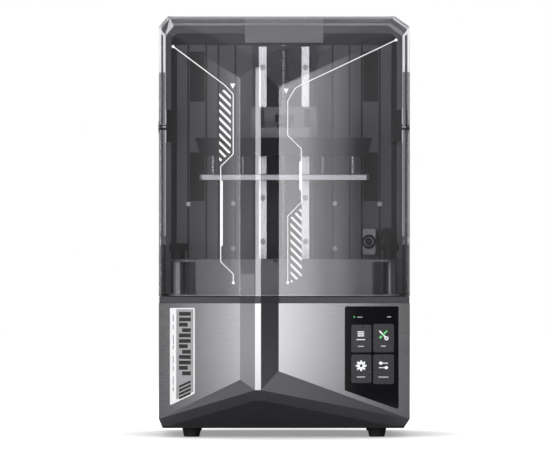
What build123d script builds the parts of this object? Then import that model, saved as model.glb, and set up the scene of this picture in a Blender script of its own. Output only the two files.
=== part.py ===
from build123d import *
import math
import os

# Resin 3D printer with a faceted base and a flip-up smoked lid, in millimetres.
# Frame: origin at the middle of the footprint, on the surface the feet stand on.
# +X is the viewer's right, -Y is the front with the ridge and the touch screen, +Z is up.

os.makedirs("parts", exist_ok=True)

# ---------------------------------------------------------------- driving dimensions
width = 326.0            # body width, without the pivot caps
depth = 329.2            # ridge to rear panel
height = 547.5           # feet to the top of the lid
foot_height = 11.8       # underside of the base
base_top = 174.5         # top of the painted base shell
lid_bottom = 183.2       # lower edge of the closed lid
wall = 3.0               # moulded wall thickness
clearance = 0.3          # gap between pieces that move past each other
running_fit = 0.06       # radial play of a shaft in its hole

half = width / 2
front = -depth / 2       # the ridge
back = depth / 2

# front facets: how far each edge stands out from the plane of the front corners
ridge_out = 32.0
left_out = 14.0
right_out = 12.0
corner_y = front + ridge_out
ridge_left, ridge_right = -38.0, -30.3
left_edge, right_edge = -57.4, -7.3
corner_top, corner_bottom = height - 14.0, 24.2
ridge_top, ridge_foot = 479.8, 62.5
left_top, left_foot = 467.9, 75.4
right_top, right_foot = 456.3, 86.4
notch_y = front + 14.6   # where the V notches above and below the ridge begin
notch_top, notch_foot = 496.7, 48.0
top_left, top_right = -151.7, 144.0
foot_left, foot_right = -158.3, 155.4
top_y = corner_y + 13.6
foot_y = corner_y + 12.9

# lid hinge
pivot_y, pivot_z = 105.0, 407.0
lid_sweep = 154.0        # no lid corner behind the pivot lies further out than this
lid_back = 160.0
pin_radius = 4.0

# tower behind the chamber
tower_half = 152.0
tower_top = 533.0
tower_slope_y, tower_slope_z = 145.0, 520.0   # the slope at the rear of its top
tower_corner = 6.0       # chamfer at the sides of its top, clear of the lid as it opens
tower_wall = 2.5
wall_face = 104.0        # front face of the ribbed chamber wall

# exposure deck
vat_y = -20.0            # middle of the vat, screen and plate, front to back
screen_z = 191.0
tilt_axis_y, tilt_axis_z = 72.0, 178.0

# Z axis
rail_x = 28.4
column_y = 80.0          # front face of the column
screw_y = 71.0
screw_radius = 4.0
rail_top = 513.6
carriage_low, carriage_high = 390.0, 433.0


# ---------------------------------------------------------------- helpers
def save(builder, label):
    """Name a finished piece and write it."""
    builder.part.label = label
    export_step(builder.part, f"parts/{label}.step")


def coplanar_x(p, q, r, y, z):
    """X of the point at (y, z) in the plane through p, q and r."""
    n = (Vector(*q) - Vector(*p)).cross(Vector(*r) - Vector(*p))
    return p[0] - (n.Y * (y - p[1]) + n.Z * (z - p[2])) / n.X


def polyhedron(loops):
    """Closed solid from its flat faces, each given by its corner points."""
    return Solid(Shell([Face(Wire.make_polygon(loop, close=True)) for loop in loops]))


def outline(inset=0.0):
    """The faceted outer form of base and lid together, moved inward by inset."""
    side = half - inset
    step = inset
    tl, tr = (-side, corner_y + step, corner_top - step), (side, corner_y + step, corner_top - step)
    bl, br = (-side, corner_y + step, corner_bottom + step), (side, corner_y + step, corner_bottom + step)
    at = (left_edge, corner_y - left_out + step, left_top - step)
    ab = (left_edge, corner_y - left_out + step, left_foot + step)
    r1t, r2t = (ridge_left, front + step, ridge_top - step), (ridge_right, front + step, ridge_top - step)
    r1b, r2b = (ridge_left, front + step, ridge_foot + step), (ridge_right, front + step, ridge_foot + step)
    et = (right_edge, corner_y - right_out + step, right_top - step)
    eb = (right_edge, corner_y - right_out + step, right_foot + step)
    tlt, trt = (top_left + step, top_y + step, height - step), (top_right - step, top_y + step, height - step)
    blb = (foot_left + step, foot_y + step, foot_height + step)
    brb = (foot_right - step, foot_y + step, foot_height + step)
    nt, nb = (notch_y + step, notch_top - step), (notch_y + step, notch_foot + step)
    ntl, ntr = (coplanar_x(tl, r1t, tlt, *nt), *nt), (coplanar_x(tr, r2t, trt, *nt), *nt)
    nbl, nbr = (coplanar_x(bl, r1b, blb, *nb), *nb), (coplanar_x(br, r2b, brb, *nb), *nb)

    def rear(p):
        return (p[0], back - inset, p[2])

    return polyhedron([
        [tl, at, ab, bl],                      # left panel
        [at, r1t, r1b, ab],                    # rise to the ridge
        [tl, r1t, at],
        [bl, ab, r1b],
        [r1t, r2t, r2b, r1b],                  # ridge
        [r2t, et, eb, r2b],                    # fall from the ridge
        [et, tr, br, eb],                      # right panel
        [r2t, tr, et],
        [r2b, eb, br],
        [tl, tlt, ntl, r1t],                   # upper chamfer band
        [r1t, ntl, ntr, r2t],
        [r2t, ntr, trt, tr],
        [ntl, tlt, trt, ntr],                  # upper notch
        [tlt, rear(tlt), rear(trt), trt],      # top
        [bl, r1b, nbl, blb],                   # lower chamfer band
        [r1b, r2b, nbr, nbl],
        [r2b, br, brb, nbr],
        [nbl, nbr, brb, blb],                  # lower notch
        [blb, brb, rear(brb), rear(blb)],      # underside
        [tl, bl, rear(bl), rear(tl)],          # sides and their chamfers
        [tl, rear(tl), rear(tlt), tlt],
        [bl, blb, rear(blb), rear(bl)],
        [tr, rear(tr), rear(br), br],
        [tr, trt, rear(trt), rear(tr)],
        [br, rear(br), rear(brb), brb],
        [rear(p) for p in (tl, bl, blb, brb, br, tr, trt, tlt)],
    ])


def band(form, low, high, rear=back):
    """The part of a form between two heights and in front of a plane. Called outside the builders."""
    keep = Pos(0, (front + rear) / 2, (low + high) / 2) * Box(width, rear - front, high - low)
    return form & keep


def block(x0, x1, y0, y1, z0, z1, mode=Mode.ADD):
    """Box between two corners, inside a part builder. The two X values come in either order."""
    x0, x1 = sorted((x0, x1))
    with Locations(((x0 + x1) / 2, (y0 + y1) / 2, (z0 + z1) / 2)):
        Box(x1 - x0, y1 - y0, z1 - z0, mode=mode)


def rod(x, y, z0, z1, radius, mode=Mode.ADD):
    """Upright cylinder inside a part builder."""
    with Locations((x, y, (z0 + z1) / 2)):
        Cylinder(radius, z1 - z0, mode=mode)


def rod_y(x, z, y0, y1, radius, mode=Mode.ADD):
    """Cylinder along Y inside a part builder."""
    with Locations(Location((x, (y0 + y1) / 2, z), (90, 0, 0))):
        Cylinder(radius, y1 - y0, mode=mode)


def rod_x(y, z, x0, x1, radius, mode=Mode.ADD):
    """Cylinder along X inside a part builder. The two X values come in either order."""
    x0, x1 = sorted((x0, x1))
    with Locations(Location(((x0 + x1) / 2, y, z), (0, 90, 0))):
        Cylinder(radius, x1 - x0, mode=mode)


full_form = outline()
inner_form = outline(wall)

# ---------------------------------------------------------------- base
tray_top = foot_height + wall
panel_half, panel_low, panel_high = 140.0, 32.0, 164.0
deck_low = base_top - wall
deck_half, deck_front, deck_rear = 154.5, -118.0, 79.0

under_notch = (full_form.faces()
               .filter_by(lambda f: f.normal_at().Y < -0.3 and f.normal_at().Z < -0.3)
               .sort_by(Axis.Z)[0])

# touch screen, laid out on the right front panel: local x runs along the panel, local y is up
right_run = Vector(half - right_edge, right_out, 0).normalized()
right_panel = Plane(origin=(half, corner_y, 0), x_dir=right_run, z_dir=right_run.cross(Vector(0, 0, 1)))
glass_x0, glass_x1 = -85.0, -14.5
glass_top, glass_low_left, glass_low_right = 170.5, 61.5, 36.5
glass_proud, glass_sunk, glass_round = 0.6, 0.9, 3.0
window_edge = 6.0

# badge plate on the left front panel
left_run = Vector(left_edge + half, -left_out, 0).normalized()
left_panel = Plane(origin=(-half, corner_y, 0), x_dir=left_run, z_dir=left_run.cross(Vector(0, 0, 1)))
badge_x0, badge_x1 = 14.7, 47.2
badge_top, badge_low_left, badge_low_right = 168.3, 42.0, 57.5
badge_proud, badge_sunk = 0.3, 0.5

# rear fans, power inlet and ports
fan_x, fan_z, fan_size, fan_depth, fan_radius = 72.0, 100.0, 80.0, 20.0, 37.0
inner_back = back - wall
inlet_x, inlet_z, inlet_w, inlet_h = -108.0, 48.0, 27.5, 20.0
rocker_x, rocker_w, rocker_h = -72.0, 19.0, 13.0
rocker_gap, rocker_pin_radius = 0.4, 1.2
rocker_axis_y = back - 4.0
usb_x, usb_w, usb_h = 110.0, 14.0, 6.5


def glass_outline():
    """Four-sided outline of the touch screen, its lower edge slanting with the panel."""
    return [(glass_x0, glass_top), (glass_x1, glass_top),
            (glass_x1, glass_low_right), (glass_x0, glass_low_left)]


def badge_outline():
    """Four-sided outline of the badge plate."""
    return [(badge_x0, badge_top), (badge_x1, badge_top),
            (badge_x1, badge_low_right), (badge_x0, badge_low_left)]


def plate_on(panel, corners, low, high, rounding, margin=0.0, mode=Mode.ADD):
    """Plate with rounded corners on a slanted panel, between two heights above it."""
    with BuildSketch(panel.offset(low)) as profile:
        Polygon(*corners, align=None)
        if margin:
            offset(amount=margin, kind=Kind.INTERSECTION)
        fillet(profile.vertices(), rounding)
    extrude(profile.sketch, amount=high - low, mode=mode)


tray_form = band(full_form, foot_height, tray_top)
with BuildPart() as bottom_tray:
    add(tray_form)
    extrude(to_extrude=under_notch, amount=-wall)
    with GridLocations(10, 34, 20, 4):
        with Locations((0, 30, tray_top)):
            Box(4, 22, 4 * wall, mode=Mode.SUBTRACT)
save(bottom_tray, "bottom_tray")

with BuildPart() as base_shell:
    add(full_form)
    add(inner_form, mode=Mode.SUBTRACT)
    block(-half, half, front, back, foot_height, tray_top, Mode.SUBTRACT)
    extrude(to_extrude=under_notch, amount=-2 * wall, mode=Mode.SUBTRACT)
    block(-half, half, front, back, base_top, height, Mode.SUBTRACT)
    block(-panel_half, panel_half, inner_back - 1, back, panel_low, panel_high, Mode.SUBTRACT)
    plate_on(right_panel, glass_outline(), -glass_sunk, 2, glass_round + clearance, clearance, Mode.SUBTRACT)
    plate_on(right_panel, glass_outline(), -2 * wall, 0, glass_round, -window_edge, Mode.SUBTRACT)
    plate_on(left_panel, badge_outline(), -badge_sunk, 2, 1.2, 0.1, Mode.SUBTRACT)
save(base_shell, "base_shell")

with BuildPart() as touch_glass:
    plate_on(right_panel, glass_outline(), -glass_sunk, glass_proud, glass_round)
save(touch_glass, "touch_glass")

with BuildPart() as display_module:
    plate_on(right_panel, glass_outline(), -5.5, -glass_sunk, glass_round, -window_edge - clearance)
save(display_module, "display_module")

with BuildPart() as badge_plate:
    plate_on(left_panel, badge_outline(), -badge_sunk, badge_proud, 1.2)
save(badge_plate, "badge_plate")

with BuildPart() as rear_panel:
    block(-panel_half + 0.1, panel_half - 0.1, inner_back, back, panel_low + 0.1, panel_high - 0.1)
    for side in (-1, 1):
        for row in range(-3, 4):
            chord = math.sqrt(fan_radius ** 2 - (row * 10) ** 2) - 3
            for run in (-1, 1):
                x_mid = side * fan_x + run * (chord + 2) / 2
                block(x_mid - chord / 2 + 1, x_mid + chord / 2 - 1, inner_back, back,
                      fan_z + row * 10 - 3, fan_z + row * 10 + 3, Mode.SUBTRACT)
    block(inlet_x - inlet_w / 2, inlet_x + inlet_w / 2, inner_back, back,
          inlet_z - inlet_h / 2, inlet_z + inlet_h / 2, Mode.SUBTRACT)
    block(rocker_x - rocker_w / 2, rocker_x + rocker_w / 2, inner_back, back,
          inlet_z - rocker_h / 2, inlet_z + rocker_h / 2, Mode.SUBTRACT)
    block(usb_x - usb_w / 2, usb_x + usb_w / 2, inner_back, back,
          inlet_z - usb_h / 2, inlet_z + usb_h / 2, Mode.SUBTRACT)
save(rear_panel, "rear_panel")

# the inlet and its rocker share one moulded body
with BuildPart() as power_inlet:
    block(inlet_x - inlet_w / 2, inlet_x + inlet_w / 2, inner_back - 16, back - 0.2,
          inlet_z - inlet_h / 2, inlet_z + inlet_h / 2)
    block(inlet_x - inlet_w / 2 + 2, inlet_x + inlet_w / 2 - 2, inner_back - 14, back,
          inlet_z - inlet_h / 2 + 2, inlet_z + inlet_h / 2 - 2, Mode.SUBTRACT)
    for pin_shift in (-7, 0, 7):
        block(inlet_x + pin_shift - 1, inlet_x + pin_shift + 1, inner_back - 14, inner_back - 2,
              inlet_z - 2, inlet_z + 2)
    block(rocker_x - rocker_w / 2, rocker_x + rocker_w / 2, inner_back - 12, back - 0.2,
          inlet_z - rocker_h / 2, inlet_z + rocker_h / 2)
    block(rocker_x - rocker_w / 2 + 1.5, rocker_x + rocker_w / 2 - 1.5, inner_back - 10, back,
          inlet_z - rocker_h / 2 + 1.2, inlet_z + rocker_h / 2 - 1.2, Mode.SUBTRACT)
    block(inlet_x, rocker_x, inner_back - 16, inner_back - 14, inlet_z - rocker_h / 2, inlet_z + rocker_h / 2)
    block(rocker_x - rocker_w / 2, rocker_x + rocker_w / 2, inner_back - 16, inner_back - 12,
          inlet_z - rocker_h / 2, inlet_z + rocker_h / 2)
    rod_x(rocker_axis_y, inlet_z, rocker_x - rocker_w / 2, rocker_x + rocker_w / 2,
          rocker_pin_radius + running_fit, Mode.SUBTRACT)
save(power_inlet, "power_inlet")

with BuildPart() as usb_port:
    block(usb_x - usb_w / 2, usb_x + usb_w / 2, inner_back - 15, back - 0.4,
          inlet_z - usb_h / 2, inlet_z + usb_h / 2)
    block(usb_x - usb_w / 2 + 0.6, usb_x + usb_w / 2 - 0.6, inner_back - 14, back,
          inlet_z - usb_h / 2 + 0.6, inlet_z + usb_h / 2 - 0.6, Mode.SUBTRACT)
    block(usb_x - usb_w / 2 + 1.6, usb_x + usb_w / 2 - 1.6, inner_back - 14, back - 2,
          inlet_z + 0.3, inlet_z + 2.2)
save(usb_port, "usb_port")

# the rocker tips about a pin that runs along X
with BuildPart() as power_rocker:
    rocker_reach = rocker_h / 2 - 1.2 - rocker_gap
    with BuildSketch(Plane.YZ.offset(rocker_x - rocker_w / 2 + 1.5 + rocker_gap)):
        with BuildLine():
            Polyline((rocker_axis_y - 2.5, inlet_z - rocker_reach + 1),
                     (rocker_axis_y + 2, inlet_z - rocker_reach + 0.6),
                     (rocker_axis_y + 1.2, inlet_z),
                     (rocker_axis_y + 2, inlet_z + rocker_reach - 0.6),
                     (rocker_axis_y - 2.5, inlet_z + rocker_reach - 1), close=True)
        make_face()
    extrude(amount=rocker_w - 3 - 2 * rocker_gap)
    rod_x(rocker_axis_y, inlet_z, rocker_x - rocker_w / 2 + clearance, rocker_x + rocker_w / 2 - clearance,
          rocker_pin_radius)
save(power_rocker, "power_rocker")

with BuildPart() as fan_frames:
    for x in (-fan_x, fan_x):
        block(x - fan_size / 2, x + fan_size / 2, inner_back - fan_depth, inner_back,
              fan_z - fan_size / 2, fan_z + fan_size / 2)
    fillet(fan_frames.edges().filter_by(Axis.Y), 4)
    for x in (-fan_x, fan_x):
        rod_y(x, fan_z, inner_back - fan_depth, inner_back, fan_radius + 1.5, Mode.SUBTRACT)
        rod_y(x, fan_z, inner_back - fan_depth, inner_back - fan_depth + 3, 18)
        block(x - 2, x + 2, inner_back - fan_depth, inner_back - fan_depth + 3,
              fan_z - fan_radius - 2, fan_z + fan_radius + 2)
        block(x - fan_radius - 2, x + fan_radius + 2, inner_back - fan_depth,
              inner_back - fan_depth + 3, fan_z - 2, fan_z + 2)
        rod_y(x, fan_z, inner_back - fan_depth, inner_back - 6, 2)
save(fan_frames, "fan_frames")

for name, side in (("left", -1), ("right", 1)):
    with BuildPart() as fan_rotor:
        rotor_plane = Plane(origin=(side * fan_x, inner_back - 2, fan_z), x_dir=(1, 0, 0), z_dir=(0, -1, 0))
        rod_y(side * fan_x, fan_z, inner_back - fan_depth + 4, inner_back - 2, 16)
        blades = 7
        with BuildSketch(rotor_plane):
            with PolarLocations(15, blades):
                SlotOverall(2 * (fan_radius - 15), 2, rotation=28, align=(Align.MIN, Align.CENTER))
        extrude(amount=fan_depth - 7)
        rod_y(side * fan_x, fan_z, inner_back - fan_depth, inner_back, fan_radius, Mode.INTERSECT)
        rod_y(side * fan_x, fan_z, inner_back - fan_depth, inner_back - 5, 2 + running_fit, Mode.SUBTRACT)
    save(fan_rotor, f"fan_rotor_{name}")

# ---------------------------------------------------------------- feet, deck and seal
foot_x, foot_front_y, foot_rear_y = 120.7, -98.0, 138.0
foot_top_radius, foot_low_radius = 12.5, 10.0
rim_rear = 103.5

with BuildPart() as feet:
    with GridLocations(2 * foot_x, foot_rear_y - foot_front_y, 2, 2):
        with Locations((0, (foot_front_y + foot_rear_y) / 2, foot_height / 2)):
            Cone(foot_low_radius, foot_top_radius, foot_height)
    fillet(feet.edges().filter_by(GeomType.CIRCLE).group_by(Axis.Z)[0], 1.2)
save(feet, "feet")

deck_form = band(inner_form, deck_low, base_top)
with BuildPart() as deck_plate:
    add(deck_form)
    block(-deck_half, deck_half, deck_front, deck_rear, deck_low, base_top, Mode.SUBTRACT)
save(deck_plate, "deck_plate")

rim_form = band(outline(0.5), base_top, lid_bottom - clearance, rim_rear)
with BuildPart() as deck_rim:
    add(rim_form)
    add(outline(4.5), mode=Mode.SUBTRACT)
save(deck_rim, "deck_rim")

seal_form = band(outline(4.8), base_top, lid_bottom + 1, rim_rear)
with BuildPart() as lid_seal:
    add(seal_form)
    add(outline(7.0), mode=Mode.SUBTRACT)
save(lid_seal, "lid_seal")

# ---------------------------------------------------------------- lamp under the screen
lamp_half_x, lamp_half_y = 100.0, 53.0
lamp_top, lamp_low = 166.0, 76.0

with BuildPart() as lamp_housing:
    for shrink, mode in ((0.0, Mode.ADD), (2.0, Mode.SUBTRACT)):
        with BuildSketch(Plane.XY.offset(lamp_low)):
            with Locations((0, vat_y)):
                Rectangle(80 - 2 * shrink, 70 - 2 * shrink)
        with BuildSketch(Plane.XY.offset(lamp_top)):
            with Locations((0, vat_y)):
                Rectangle(2 * (lamp_half_x - shrink), 2 * (lamp_half_y - shrink))
        loft(mode=mode)
save(lamp_housing, "lamp_housing")

with BuildPart() as lamp_lens:
    block(-lamp_half_x, lamp_half_x, vat_y - lamp_half_y, vat_y + lamp_half_y, lamp_top, lamp_top + 2)
save(lamp_lens, "lamp_lens")

with BuildPart() as led_board:
    block(-45, 45, vat_y - 40, vat_y + 40, lamp_low - 2, lamp_low)
    with GridLocations(12, 12, 6, 5):
        with Locations((0, vat_y, lamp_low + 0.6)):
            Box(4, 4, 1.2)
save(led_board, "led_board")

with BuildPart() as heat_sink:
    block(-45, 45, vat_y - 40, vat_y + 40, lamp_low - 8, lamp_low - 2)
    with GridLocations(8, 1, 11, 1):
        with Locations((0, vat_y, lamp_low - 20)):
            Box(2, 80, 24)
save(heat_sink, "heat_sink")

# ---------------------------------------------------------------- electronics on the base floor
with BuildPart() as mainboard:
    block(-140, -30, 62, 136, tray_top + 5, tray_top + 6.6)
    for x, y, w, d, h in ((-110, 100, 26, 26, 3), (-65, 90, 14, 14, 2), (-120, 128, 24, 10, 10),
                          (-50, 128, 20, 10, 10), (-80, 70, 30, 8, 8), (-60, 112, 12, 12, 14)):
        block(x - w / 2, x + w / 2, y - d / 2, y + d / 2, tray_top + 6.6, tray_top + 6.6 + h)
    with GridLocations(100, 64, 2, 2):
        with Locations((-85, 99, tray_top + 2.5)):
            Cylinder(3, 5)
save(mainboard, "mainboard")

with BuildPart() as power_supply:
    block(30, 138, 58, 134, tray_top, tray_top + 38)
    fillet(power_supply.edges().filter_by(Axis.Z), 2)
    with GridLocations(8, 1, 11, 1):
        with Locations((84, 58, tray_top + 20)):
            Box(3, 4, 22, mode=Mode.SUBTRACT)
save(power_supply, "power_supply")

# ---------------------------------------------------------------- tilting exposure deck
vat_half, vat_inner = 129.0, 122.0
vat_front, vat_rear = -105.0, 62.0
vat_wall = 7.0
vat_low, vat_top = 185.0, 231.0
flange_half, flange_front, flange_rear = 149.5, -109.0, 64.0
flange_low = vat_top - 3.0
film_z = screen_z + 0.2
knob_x = 138.5
post_radius, post_bolt_radius = 8.0, 3.0
ring_edge = 6.0
frame_half, frame_front, frame_rear = 150.0, -112.0, 62.0
frame_low, frame_top = 179.0, 185.0
window_x, window_y = 110.0, 62.0
tilt_pin_radius = 3.0
ear_radius = 6.0

with BuildPart() as tilt_frame:
    block(-frame_half, frame_half, frame_front, frame_rear, frame_low, frame_top)
    fillet(tilt_frame.edges().filter_by(Axis.Z), 6)
    block(-113, 113, vat_y - 68, vat_y + 68, frame_top, screen_z - 2.3)
    block(-window_x, window_x, vat_y - window_y, vat_y + window_y, frame_low, screen_z, Mode.SUBTRACT)
    for side in (-1, 1):
        block(side * 68 - 8, side * 68 + 8, frame_rear - 4, tilt_axis_y, frame_low - 2, frame_top - 1)
        rod_x(tilt_axis_y, tilt_axis_z, side * 68 - 8, side * 68 + 8, ear_radius)
        rod(side * knob_x, vat_y, frame_top, flange_low, post_radius)
        rod(side * knob_x, vat_y, flange_low - 22, flange_low, post_bolt_radius + running_fit, Mode.SUBTRACT)
    rod_x(tilt_axis_y, tilt_axis_z, -frame_half, frame_half, tilt_pin_radius + running_fit, Mode.SUBTRACT)
save(tilt_frame, "tilt_frame")

with BuildPart() as tilt_pins:
    for side in (-1, 1):
        rod_x(tilt_axis_y, tilt_axis_z, side * 58, side * 94, tilt_pin_radius)
    chamfer(tilt_pins.edges().filter_by(GeomType.CIRCLE), 0.4)
save(tilt_pins, "tilt_pins")

with BuildPart() as tilt_bearings:
    for x in (-84.5, 84.5):
        block(x - 6.5, x + 6.5, tilt_axis_y - 7, tilt_axis_y + 6.5, deck_low - 8, tilt_axis_z + 6)
        block(x - 6.5, x + 6.5, tilt_axis_y + 6.5, deck_rear + 8, deck_low - 8, deck_low)
        rod_x(tilt_axis_y, tilt_axis_z, x - 6.5, x + 6.5, tilt_pin_radius, Mode.SUBTRACT)
save(tilt_bearings, "tilt_bearings")

# the cam's radius falls in proportion to its turn, so the deck tips at a constant rate
cam_x, cam_y, cam_radius = 124.0, -96.0, 26.0
cam_half_turn = math.pi
cam_ratio = 60.0         # cam turn over deck tilt
cam_drop = (tilt_axis_y - cam_y) / cam_ratio
cam_z = frame_low - cam_radius - 0.5
cam_shaft_radius = 4.0
motor_half = 14.0


def cam_point(turn):
    """Point of the cam's edge that meets the deck after the given turn, about the cam's axis."""
    reach = cam_radius - cam_drop * max(0.0, min(turn, cam_half_turn))
    return (reach * math.sin(turn), reach * math.cos(turn))


with BuildPart() as tilt_cam:
    with BuildSketch(Plane(origin=(cam_x - 4, cam_y, cam_z), x_dir=(0, 1, 0), z_dir=(1, 0, 0))):
        with BuildLine():
            spiral = Spline(*[cam_point(step * cam_half_turn / 8) for step in range(-1, 9)])
            Line(spiral @ 1, (0, -cam_radius + cam_drop * cam_half_turn))
            Polyline((0, -cam_radius + cam_drop * cam_half_turn), (-12, -12), (-18, 6), spiral @ 0)
        make_face()
    extrude(amount=8)
    rod_x(cam_y, cam_z, cam_x - 8, cam_x + 18, cam_shaft_radius)
save(tilt_cam, "tilt_cam")

with BuildPart() as tilt_motor:
    block(cam_x + 8, cam_x + 30, cam_y - motor_half, cam_y + motor_half,
          cam_z - motor_half, cam_z + motor_half)
    fillet(tilt_motor.edges().filter_by(Axis.X), 3)
    rod_x(cam_y, cam_z, cam_x + 8, cam_x + 20, cam_shaft_radius + running_fit, Mode.SUBTRACT)
    block(cam_x + 8, cam_x + 24, cam_y - 6, cam_y + 6, tray_top, cam_z - motor_half)
save(tilt_motor, "tilt_motor")

with BuildPart() as mask_screen:
    block(-112.5, 112.5, vat_y - 67.5, vat_y + 67.5, screen_z - 2.3, screen_z)
save(mask_screen, "mask_screen")

# ---------------------------------------------------------------- resin vat
with BuildPart() as resin_vat:
    block(-vat_half, vat_half, vat_front, vat_rear, vat_low, vat_top)
    fillet(resin_vat.edges().filter_by(Axis.Z), 14)
    with BuildSketch(Plane.XY.offset(flange_low)):
        with Locations((0, (flange_front + flange_rear) / 2)):
            RectangleRounded(2 * flange_half, flange_rear - flange_front, 16)
    extrude(amount=vat_top - flange_low)
    with BuildSketch(Plane.XY.offset(vat_low)):
        with Locations((0, (vat_front + vat_rear) / 2)):
            RectangleRounded(2 * vat_inner, vat_rear - vat_front - 2 * vat_wall, 8)
    extrude(amount=vat_top - vat_low, mode=Mode.SUBTRACT)
    for side in (-1, 1):
        rod(side * knob_x, vat_y, flange_low, vat_top, post_bolt_radius + 0.3, Mode.SUBTRACT)
    block(-14, 14, flange_front - 9, flange_front, flange_low, vat_top)
    spout_corners = resin_vat.edges().filter_by(Axis.Z)
    fillet(spout_corners.filter_by_position(Axis.Y, flange_front - 9.5, flange_front - 8.5), 6)
save(resin_vat, "resin_vat")

with BuildPart() as film_ring:
    for edge, mode in ((0.0, Mode.ADD), (ring_edge, Mode.SUBTRACT)):
        with BuildSketch(Plane.XY.offset(vat_low)):
            with Locations((0, (vat_front + vat_rear) / 2)):
                RectangleRounded(2 * (vat_inner - edge), vat_rear - vat_front - 2 * (vat_wall + edge),
                                 8 - edge)
        extrude(amount=film_z - vat_low, mode=mode)
save(film_ring, "film_ring")

with BuildPart() as release_film:
    with BuildSketch(Plane.XY.offset(film_z)):
        with Locations((0, (vat_front + vat_rear) / 2)):
            RectangleRounded(2 * vat_inner, vat_rear - vat_front - 2 * vat_wall, 8)
    extrude(amount=0.25)
save(release_film, "release_film")

knob_radius, knob_low, knob_top = 12.7, vat_top + 10.5, vat_top + 21.0
for name, side in (("left", -1), ("right", 1)):
    with BuildPart() as vat_knob:
        with BuildSketch(Plane(origin=(side * knob_x, vat_y, knob_low))):
            Circle(knob_radius)
            with PolarLocations(knob_radius + 0.3, 24):
                Circle(0.9, mode=Mode.SUBTRACT)
        extrude(amount=knob_top - knob_low)
        rod(side * knob_x, vat_y, vat_top + clearance, knob_low, 8)
        rod(side * knob_x, vat_y, flange_low - 20, vat_top + 1, post_bolt_radius)
    save(vat_knob, f"vat_knob_{name}")

# ---------------------------------------------------------------- tower behind the chamber
tower_front = wall_face + 2.0
wall_half, wall_top = 143.5, 516.5
edge_half, edge_top = 150.2, 531.8
frame_inner, frame_inner_top, frame_corner = 150.5, 532.1, 7.0
frame_gap = 1.6          # between the face frame and the inside of the lid
shoulder_half = 157.0
bracket_in, bracket_out = 144.0, 157.5
bracket_low, bracket_high = 387.0, 430.0
bracket_front, bracket_rear = 92.0, 118.0
shoulder_gap = lid_sweep + 3.0
lamp_half, lamp_low_z, lamp_high_z = 52.3, 519.6, 543.0
lamp_root_half, lamp_root_low = 46.0, 536.5


def bracket_space(reach=0.0):
    """Clear the two hinge brackets out of a piece that stands behind or beside them."""
    for side in (-1, 1):
        block(side * (bracket_in - clearance), side * (bracket_out + clearance + reach), bracket_front,
              bracket_rear + clearance, bracket_low - clearance, bracket_high + clearance, Mode.SUBTRACT)


def gate(half_width, high, corner):
    """Outline from the deck up to a height, with its two upper corners cut off."""
    return [(-half_width, base_top), (half_width, base_top), (half_width, high - corner),
            (half_width - corner, high), (corner - half_width, high), (-half_width, high - corner)]


with BuildPart() as tower_shell:
    with BuildSketch(Plane.YZ.offset(-tower_half)):
        Polygon((tower_front, base_top), (tower_front, tower_top), (tower_slope_y, tower_top),
                (back, tower_slope_z), (back, base_top), align=None)
    extrude(amount=2 * tower_half)
    with BuildSketch(Plane.XZ.offset(-tower_front)):
        Polygon(*gate(tower_half, tower_top, tower_corner), align=None)
    extrude(amount=tower_front - back, mode=Mode.INTERSECT)
    offset(amount=-tower_wall, openings=tower_shell.faces().sort_by(Axis.Y)[0])
    for side in (-1, 1):
        with BuildSketch(Plane.YZ.offset(side * half)):
            with BuildLine():
                rise = math.sqrt(shoulder_gap ** 2 - (back - pivot_y) ** 2)
                start = (tower_front, pivot_z - shoulder_gap)
                end = (back, pivot_z - rise)
                lean = math.atan2(back - pivot_y, rise) / 2
                through = (pivot_y + shoulder_gap * math.sin(lean), pivot_z - shoulder_gap * math.cos(lean))
                ThreePointArc(start, through, end)
                Polyline(end, (back, base_top), (tower_front, base_top), start)
            make_face()
        extrude(amount=-side * (half - shoulder_half - clearance))
        block(side * tower_half, side * (shoulder_half + clearance), back - tower_wall, back,
              base_top, pivot_z - shoulder_gap)
    for x in range(-96, 97, 12):
        block(x - 2, x + 2, back - tower_wall, back, 452, 496, Mode.SUBTRACT)
    bracket_space()
save(tower_shell, "tower_shell")

with BuildPart() as chamber_wall:
    block(-wall_half, wall_half, wall_face, tower_front, base_top, wall_top)
    for x in (65.0, 87.7, 104.0, 128.0):
        for side in (-1, 1):
            block(side * x - 1.3, side * x + 1.3, wall_face, wall_face + 1,
                  base_top + 6, wall_top, Mode.SUBTRACT)
    for z0, z1 in ((441.0, 508.0), (308.0, 373.0)):
        for side in (-1, 1):
            block(side * 116 - 10, side * 116 + 10, wall_face, wall_face + 1.2, z0, z1, Mode.SUBTRACT)
save(chamber_wall, "chamber_wall")

# black band round the chamber wall, with a flange behind each side
with BuildPart() as wall_edges:
    with BuildSketch(Plane.XZ.offset(-wall_face)):
        Polygon(*gate(edge_half, edge_top, frame_corner), align=None)
    extrude(amount=wall_face - tower_front)
    block(-wall_half - 0.5, wall_half + 0.5, wall_face, tower_front, base_top, wall_top + 0.5, Mode.SUBTRACT)
    for side in (-1, 1):
        block(side * (wall_half + 0.5), side * (wall_half + 2.5), tower_front, bracket_rear + 6,
              base_top + tower_wall, wall_top)
    bracket_space()
save(wall_edges, "wall_edges")

# painted frame that closes the gap between the tower and the lid
frame_form = band(outline(wall + frame_gap), base_top, height, tower_front)
with BuildPart() as face_frame:
    add(frame_form)
    block(-half, half, front, wall_face, base_top, height, Mode.SUBTRACT)
    with BuildSketch(Plane.XZ.offset(-wall_face)):
        Polygon(*gate(frame_inner, frame_inner_top, frame_corner), align=None)
    extrude(amount=wall_face - tower_front, mode=Mode.SUBTRACT)
    block(-lamp_root_half - clearance, lamp_root_half + clearance, wall_face, tower_front,
          lamp_root_low - clearance, lamp_high_z + clearance, Mode.SUBTRACT)
    bracket_space(wall)
save(face_frame, "face_frame")

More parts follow.
